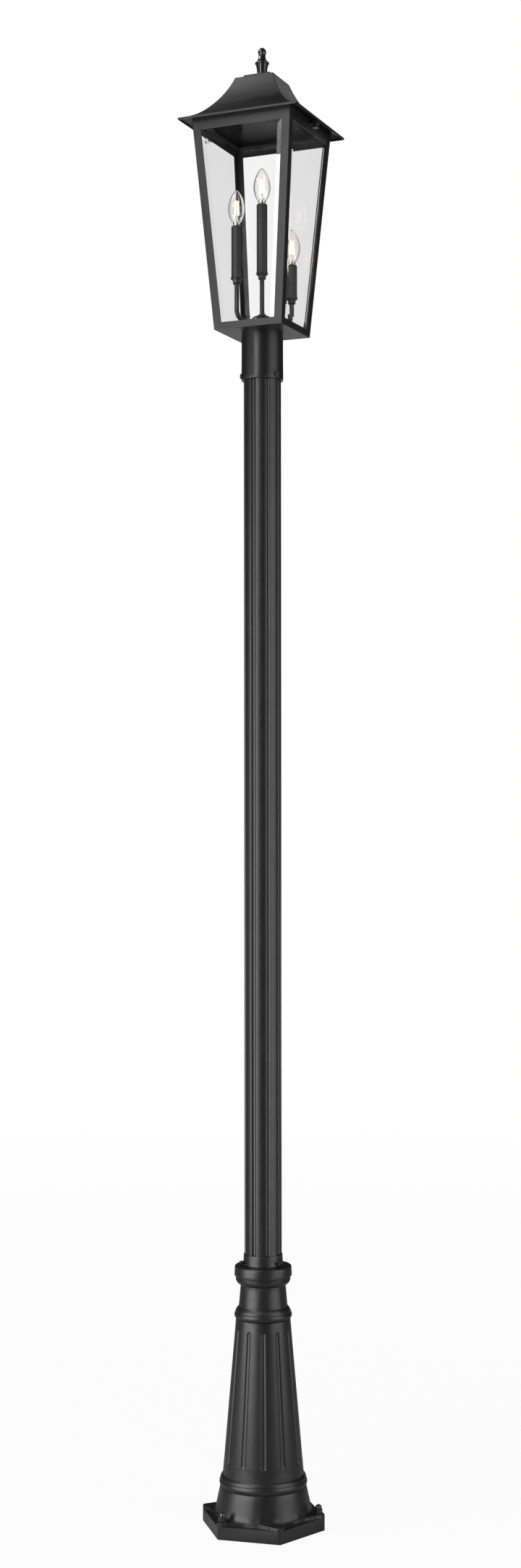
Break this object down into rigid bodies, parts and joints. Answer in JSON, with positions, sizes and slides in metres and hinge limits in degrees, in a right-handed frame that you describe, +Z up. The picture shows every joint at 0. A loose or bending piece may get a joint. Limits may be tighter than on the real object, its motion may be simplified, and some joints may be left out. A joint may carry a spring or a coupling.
{
  "type": "garden lamp post",
  "caption": "Tall black garden lamp post: fluted cast base on a hexagonal foot, grooved tube and a tapered square glass lantern with candle lamps under a bell roof.",
  "frame": {"origin": "centre of the base's underside, on the ground, on the post's axis", "axes": "+Z up the post; X and Y square to the lantern's four sides, with the roof's thumb screws on X"},
  "size_m": [0.2586, 0.2586, 3.019],
  "materials": {
    "base_paint": "black powder coat, satin, on cast aluminium",
    "post_paint": "black powder coat, satin, on extruded aluminium",
    "sheet_paint": "black powder coat, satin, on folded sheet steel",
    "roof_paint": "black powder coat, satin, on pressed sheet steel",
    "finial_gloss": "gloss black enamel on turned aluminium",
    "anchor_gloss": "gloss black on steel",
    "screw_black": "black finished steel",
    "plated_steel": "bright zinc plate",
    "pane_glass": "clear plate glass with a ground and polished bevel",
    "cluster_paint": "black powder coat, satin",
    "sleeve_black": "black moulded candle cover",
    "socket_plastic": "moulded lampholder body",
    "lamp_metal": "bright pressed metal",
    "lamp_glass": "clear blown glass",
    "filament": "amber coated light sticks on fine wires"
  },
  "bodies": {
    "root": {"base_casting": "base_paint", "anchor_washers": "anchor_gloss", "anchor_nuts": "anchor_gloss", "base_collar": "base_paint", "collar_set_screws": "screw_black", "fluted_post": "post_paint", "post_fitter": "post_paint", "fitter_set_screws": "screw_black", "bottom_plate": "sheet_paint", "bottom_frame": "sheet_paint", "top_frame": "sheet_paint", "corner_post_front": "sheet_paint", "corner_post_right": "sheet_paint", "corner_post_back": "sheet_paint", "corner_post_left": "sheet_paint", "glass_pane_front": "pane_glass", "glass_pane_right": "pane_glass", "glass_pane_back": "pane_glass", "glass_pane_left": "pane_glass", "glass_clips": "sheet_paint", "lamp_hub": "cluster_paint", "cluster_nipple": "plated_steel", "cluster_locknut": "plated_steel", "rod_nut": "cluster_paint", "centre_rod": "cluster_paint", "lamp_arm_left": "cluster_paint", "lamp_arm_right": "cluster_paint", "candle_cup_centre": "cluster_paint", "candle_cup_left": "cluster_paint", "candle_cup_right": "cluster_paint", "candle_sleeve_centre": "sleeve_black", "candle_sleeve_left": "sleeve_black", "candle_sleeve_right": "sleeve_black", "lamp_socket_centre": "socket_plastic", "lamp_socket_left": "socket_plastic", "lamp_socket_right": "socket_plastic"},
    "roof": {"roof_shell": "roof_paint", "roof_ring": "roof_paint", "roof_ring_nuts": "plated_steel", "roof_cap": "roof_paint", "finial": "finial_gloss", "finial_stud": "plated_steel", "finial_nut": "plated_steel"},
    "thumb_screw_left": {"thumb_screw_left": "screw_black"},
    "thumb_screw_right": {"thumb_screw_right": "screw_black"},
    "lamp_centre": {"lamp_cap_centre": "lamp_metal", "lamp_glass_centre": "lamp_glass", "lamp_filaments_centre": "filament"},
    "lamp_left": {"lamp_cap_left": "lamp_metal", "lamp_glass_left": "lamp_glass", "lamp_filaments_left": "filament"},
    "lamp_right": {"lamp_cap_right": "lamp_metal", "lamp_glass_right": "lamp_glass", "lamp_filaments_right": "filament"}
  },
  "joints": [
    {"name": "roof_lift", "type": "slide", "parent": "root", "child": "roof", "axis": [0, 0, 1], "range_m": [0, 0.2]},
    {"name": "thumb_screw_left_turn", "type": "hinge", "parent": "root", "child": "thumb_screw_left", "pos_m": [-0.118, 0, 2.8455], "axis": [0, 0, 1], "continuous": true},
    {"name": "thumb_screw_right_turn", "type": "hinge", "parent": "root", "child": "thumb_screw_right", "pos_m": [0.118, 0, 2.8455], "axis": [0, 0, 1], "continuous": true},
    {"name": "lamp_centre_turn", "type": "hinge", "parent": "root", "child": "lamp_centre", "pos_m": [0, 0, 2.6986], "axis": [0, 0, 1], "continuous": true},
    {"name": "lamp_left_turn", "type": "hinge", "parent": "root", "child": "lamp_left", "pos_m": [-0.03285, -0.05258, 2.6445], "axis": [0, 0, 1], "continuous": true},
    {"name": "lamp_right_turn", "type": "hinge", "parent": "root", "child": "lamp_right", "pos_m": [0.0446, 0.04307, 2.5794], "axis": [0, 0, 1], "continuous": true}
  ]
}
